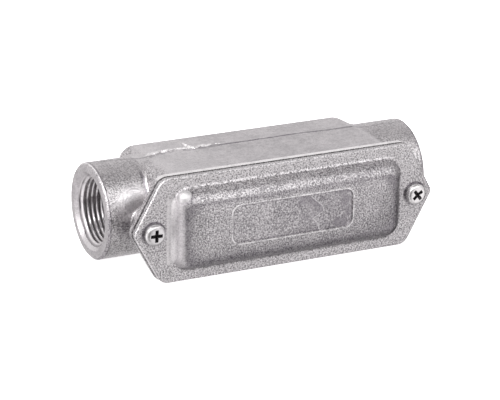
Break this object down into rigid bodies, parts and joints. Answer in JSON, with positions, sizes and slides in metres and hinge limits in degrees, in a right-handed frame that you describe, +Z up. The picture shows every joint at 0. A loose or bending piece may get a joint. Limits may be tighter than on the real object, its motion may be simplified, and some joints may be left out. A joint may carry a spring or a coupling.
{
  "type": "conduit pull box",
  "caption": "Die-cast straight-through conduit pull box with threaded hubs at both ends and a screwed-on raised cover over a gasket.",
  "frame": {"origin": "on the ground under the middle of the box, which stands on its long side", "axes": "+X along the conduit run, -Y out of the cover, +Z up"},
  "size_m": [0.131, 0.0542, 0.0402],
  "materials": {
    "body_casting": "as-cast, tumbled",
    "cover_casting": "as-cast, shot-blasted",
    "gasket_rubber": "matt",
    "screw_steel": "bright zinc plate"
  },
  "bodies": {
    "body": {"body": "body_casting"},
    "cover": {"cover": "cover_casting", "gasket": "gasket_rubber"},
    "left_screw": {"cover_screw_left": "screw_steel"},
    "right_screw": {"cover_screw_right": "screw_steel"}
  },
  "joints": [
    {"name": "cover_lift", "type": "slide", "parent": "body", "child": "cover", "axis": [0, -1, 0], "range_m": [0, 0.04]},
    {"name": "left_screw_turn", "type": "hinge", "parent": "cover", "child": "left_screw", "pos_m": [-0.0535, -0.0189, 0.0201], "axis": [0, -1, 0], "continuous": true},
    {"name": "right_screw_turn", "type": "hinge", "parent": "cover", "child": "right_screw", "pos_m": [0.0535, -0.0189, 0.0201], "axis": [0, -1, 0], "continuous": true}
  ]
}
